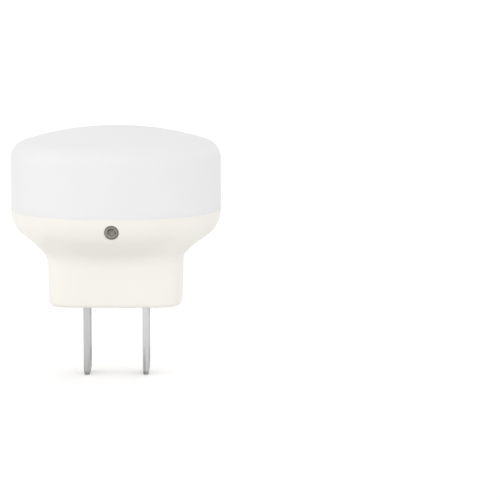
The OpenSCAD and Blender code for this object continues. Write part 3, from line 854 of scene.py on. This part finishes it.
lead_frame = frame_silver()
# The post's silver is a lighter copy of the frame's silver, a painted glint
post_glint_silver = silver("post_glint_silver", (0.92, 0.91, 0.89), (0.97, 0.96, 0.94), 0.4).mat
silicon = plastic("silicon_die", (0.30, 0.295, 0.29), (0.42, 0.415, 0.41), 0.25, flow=0.3 * MM).mat
dish_sizes = {"Floor radius": 0.44 * MM, "Lip radius": 0.6 * MM, "Lip": 0.24 * MM, "Depth": 0.24 * MM}
dish_tree = side_tree("dish_form", dish_sizes, DISH_AROUND, DISH_ROWS, dish_side)
dish = grow("sensor_dish", dish_tree, lead_frame, dish_sizes)
dish.data.transform(facing_front(DISH_Y))
anvil = plate("sensor_anvil", ANVIL, *ANVIL_Z)
post = plate("sensor_post", POST, *POST_Z)
die = block("sensor_die", DIE_LOW, DIE_HIGH)
for piece, finish in ((dish, lead_frame), (anvil, lead_frame), (post, post_glint_silver), (die, silicon)):
    dress(piece, finish)
    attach(piece, "root")


# Collar around the sensor's lens

COLLAR_ROWS = (2, 4, 4, 4, 2, 2)
COLLAR_AROUND = 96
COLLAR_IN_BY = 0.12 * MM
COLLAR_RIM_SHADE = (1.12 * MM, 1.22 * MM)
COLLAR_LIT_SIDE = (-0.9 * MM, -1.2 * MM)


def collar_side(s, turn, part):
    """Section of the collar, bent to follow the bowl: inner wall, front, outer wall and back."""
    wall, bead_in, front, bead_out, outside, back = part
    bead, width = s["Bead"], s["Outer radius"] - s["Inner radius"]
    reach = s["Inner radius"] + bead * (1.0 - (bead_in * QUARTER).cos()) + (width - bead * 2.0) * front
    reach = reach + bead * (bead_out * QUARTER).sin() - width * back
    height = (s["Depth"] - bead) * (wall - outside) - s["Depth"]
    height = height + bead * ((bead_in * QUARTER).sin() + (bead_out * QUARTER).cos() - 1.0)
    bowl, drop = s["Bowl radius"], s["Drop"]
    below = drop - reach * turn.sin()
    return reach, height + (bowl * bowl - below * below).root() - (bowl * bowl - drop * drop).root()


def collar_grey():
    """Grey-brown collar with painted shade around its outer edge, except on the left side, which is painted
    as lit.
    """
    made = plastic("collar_grey", (0.285, 0.255, 0.228), (0.345, 0.312, 0.28), 0.42, flow=0.8 * MM)
    x, _, z = made.axes()
    edge = from_sensor_axis(x, z).ramp(*COLLAR_RIM_SHADE) * (1.0 - x.ramp(*COLLAR_LIT_SIDE))
    made.paint(edge, (0.172, 0.153, 0.138))
    return made.mat


collar_drop = SEAM_H - RIM_LAND - SENSOR_Z
collar_y = BOWL_R - SHADE_R - math.sqrt(BOWL_R ** 2 - collar_drop ** 2) + COLLAR_IN_BY
collar_sizes = {
    "Inner radius": 0.92 * MM, "Outer radius": 1.53 * MM, "Bead": 0.06 * MM, "Depth": 0.9 * MM,
    "Bowl radius": BOWL_R, "Drop": collar_drop,
}
collar_tree = side_tree("collar_form", collar_sizes, COLLAR_AROUND, COLLAR_ROWS, collar_side)
collar = grow("sensor_collar", collar_tree, collar_grey(), collar_sizes)
collar.data.transform(facing_front(collar_y))
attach(collar, "root")


# Floor, light and camera

# Each soft box has its turn from the front and its rise, in degrees, and its strength
SOFT_BOXES = {
    "left": (-90, 8, 1.95),
    "front": (0, 8, 1.52),
    "front right": (60, 8, 0.38),
    "right": (90, 8, 0.86),
    "back": (180, 8, 1.06),
    "upper front": (0, 45, 0.5),
    "upper back": (150, 45, 0.86),
    "top": (0, 90, 0.31),
}
BOX_FALLOFF = 4
FLOOR_Z = -BLADE_L - 0.02 * MM
FLOOR_HALF = 3
FLOOR_TONE = (0.87, 0.87, 0.87, 1)
FLOOR_LIFT = 0.26
LAMP_AIM = Vector((0, 0, 10 * MM))
CAMERA_LENS = 200.6
CAMERA_AIM = Vector((28.75 * MM, 0, 10.95 * MM))
CAMERA_RISE = math.radians(7)
CAMERA_AWAY = 0.6


def through_camera(tree):
    """1 for what the camera, a reflection or clear plastic looks at."""
    path = tree.nodes.new("ShaderNodeLightPath")
    seen = Field(tree, path.outputs["Is Camera Ray"])
    seen = seen.at_least(Field(tree, path.outputs["Is Glossy Ray"]))
    return seen.at_least(Field(tree, path.outputs["Is Transmission Ray"]))


def white_room():
    """World that looks white and lights the object from the soft boxes."""
    world = bpy.data.worlds.new("white_room")
    scene.world = world
    world.use_nodes = True
    tree = world.node_tree
    tree.nodes.clear()
    across, along, up = axes(tree, tree.nodes.new("ShaderNodeTexCoord").outputs["Generated"])
    room = 0.0
    for turn, rise, strength in SOFT_BOXES.values():
        flat, high = math.cos(math.radians(rise)), math.sin(math.radians(rise))
        side, front = math.sin(math.radians(turn)) * flat, math.cos(math.radians(turn)) * flat
        facing = across * side - along * front + up * high
        room = facing.held().power(BOX_FALLOFF) * strength + room
    seen = through_camera(tree)
    backdrop = tree.nodes.new("ShaderNodeBackground")
    backdrop.inputs["Color"].default_value = (1, 1, 1, 1)
    tree.links.new((seen + (1.0 - seen) * room).socket, backdrop.inputs["Strength"])
    tree.links.new(backdrop.outputs[0], tree.nodes.new("ShaderNodeOutputWorld").inputs["Surface"])


def pale_floor():
    """Floor under the blade tips that looks as white as the room and keeps the shadow."""
    work = bmesh.new()
    bmesh.ops.create_grid(work, x_segments=2, y_segments=2, size=FLOOR_HALF)
    bmesh.ops.translate(work, verts=work.verts, vec=(0, 0, FLOOR_Z))
    floor = from_work("floor", work)
    mat = bpy.data.materials.new("pale_floor")
    mat.use_nodes = True
    tree = mat.node_tree
    tree.nodes.clear()
    paint = tree.nodes.new("ShaderNodeBsdfDiffuse")
    paint.inputs["Color"].default_value = FLOOR_TONE
    glow = tree.nodes.new("ShaderNodeEmission")
    tree.links.new((through_camera(tree) * FLOOR_LIFT).socket, glow.inputs["Strength"])
    both = tree.nodes.new("ShaderNodeAddShader")
    tree.links.new(paint.outputs[0], both.inputs[0])
    tree.links.new(glow.outputs[0], both.inputs[1])
    tree.links.new(both.outputs[0], tree.nodes.new("ShaderNodeOutputMaterial").inputs["Surface"])
    floor.data.materials.append(mat)


def soft_lamp(name, toward, distance, size, power):
    """Round soft box that shines on the object from a direction."""
    data = bpy.data.lights.new(name, "AREA")
    data.shape = "DISK"
    data.size = size
    data.energy = power
    lamp = bpy.data.objects.new(name, data)
    scene.collection.objects.link(lamp)
    direction = Vector(toward).normalized()
    lamp.location = LAMP_AIM + direction * distance
    lamp.rotation_euler = direction.to_track_quat("Z", "Y").to_euler()


def place_camera():
    """Long lens in front of the object, a little above it, aimed beside it so that it stands left."""
    camera = bpy.data.objects.new("camera", bpy.data.cameras.new("camera"))
    scene.collection.objects.link(camera)
    scene.camera = camera
    camera.data.sensor_width = 36
    camera.data.lens = CAMERA_LENS
    camera.data.clip_start = 0.05
    camera.data.clip_end = 20
    back = Vector((0, -math.cos(CAMERA_RISE), math.sin(CAMERA_RISE)))
    camera.location = CAMERA_AIM + back * CAMERA_AWAY
    camera.rotation_euler = back.to_track_quat("Z", "Y").to_euler()


white_room()
pale_floor()
soft_lamp("key_lamp", toward=(-0.60, -0.70, 0.38), distance=1.0, size=0.6, power=0.165)
place_camera()
